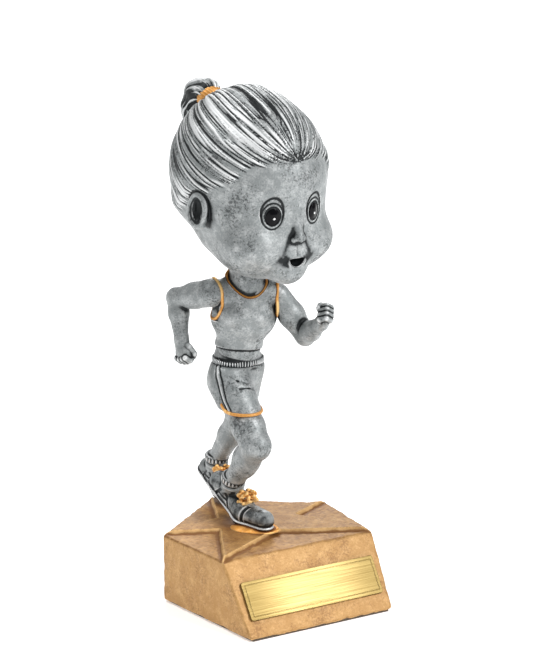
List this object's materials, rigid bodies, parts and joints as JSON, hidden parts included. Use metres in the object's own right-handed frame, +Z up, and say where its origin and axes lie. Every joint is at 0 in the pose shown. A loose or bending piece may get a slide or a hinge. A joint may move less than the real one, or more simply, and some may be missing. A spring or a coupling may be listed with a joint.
{
  "type": "figure trophy",
  "caption": "Bobble-head runner figure trophy: silver resin runner with a spring-mounted head on a gold star-topped base with a blank sloping nameplate.",
  "frame": {"origin": "centre of the base's footprint, on the surface the trophy stands on", "axes": "+Z up, -Y the way the runner and the sloping nameplate face, +X to the runner's left"},
  "size_m": [0.057, 0.0691, 0.1523],
  "materials": {
    "silver_resin": "satin",
    "gold_resin": "satin",
    "gold_paint": "satin",
    "plate_brass": "satin",
    "spring_steel": "satin",
    "wire_steel": "satin",
    "plug_plastic": "matte",
    "felt": "matte",
    "tape": "matte"
  },
  "bodies": {
    "trophy": {"base_casting": "gold_resin", "felt_pad": "felt", "nameplate": "plate_brass", "nameplate_tape": "tape", "toe_fillet": "gold_paint", "runner_casting": "silver_resin", "right_arm": "silver_resin", "left_arm": "silver_resin", "shoulder_pins": "wire_steel", "front_leg_wire": "wire_steel", "rear_leg_wire": "wire_steel", "neck_plug": "plug_plastic", "spring_foot_turns": "spring_steel"},
    "lower_turns": {"spring_lower_turns": "spring_steel"},
    "middle_turns": {"spring_middle_turns": "spring_steel"},
    "upper_turns": {"spring_upper_turns": "spring_steel"},
    "head": {"spring_crown_turns": "spring_steel", "spring_cap": "plug_plastic", "head_casting": "silver_resin", "ponytail": "silver_resin", "hair_tie": "gold_paint"}
  },
  "joints": [
    {"name": "head_nod", "type": "hinge", "parent": "trophy", "child": "lower_turns", "pos_m": [-0.0033, 0.00629, 0.11055], "axis": [1, 0, 0], "range_deg": [-10, 10], "stiffness_Nm_per_rad": 0.042, "deforming": ["spring_lower_turns"]},
    {"name": "head_tilt", "type": "hinge", "parent": "lower_turns", "child": "middle_turns", "pos_m": [-0.0033, 0.00629, 0.11055], "axis": [0, 1, 0], "range_deg": [-10, 10], "stiffness_Nm_per_rad": 0.042, "deforming": ["spring_middle_turns"]},
    {"name": "head_turn", "type": "hinge", "parent": "middle_turns", "child": "upper_turns", "pos_m": [-0.0033, 0.00629, 0.11055], "axis": [0, 0, 1], "range_deg": [-20, 20], "stiffness_Nm_per_rad": 0.048},
    {"name": "head_bounce", "type": "slide", "parent": "upper_turns", "child": "head", "axis": [0, 0, 1], "range_m": [-0.0015, 0.0015], "stiffness_N_per_m": 2900, "deforming": ["spring_upper_turns"]}
  ]
}
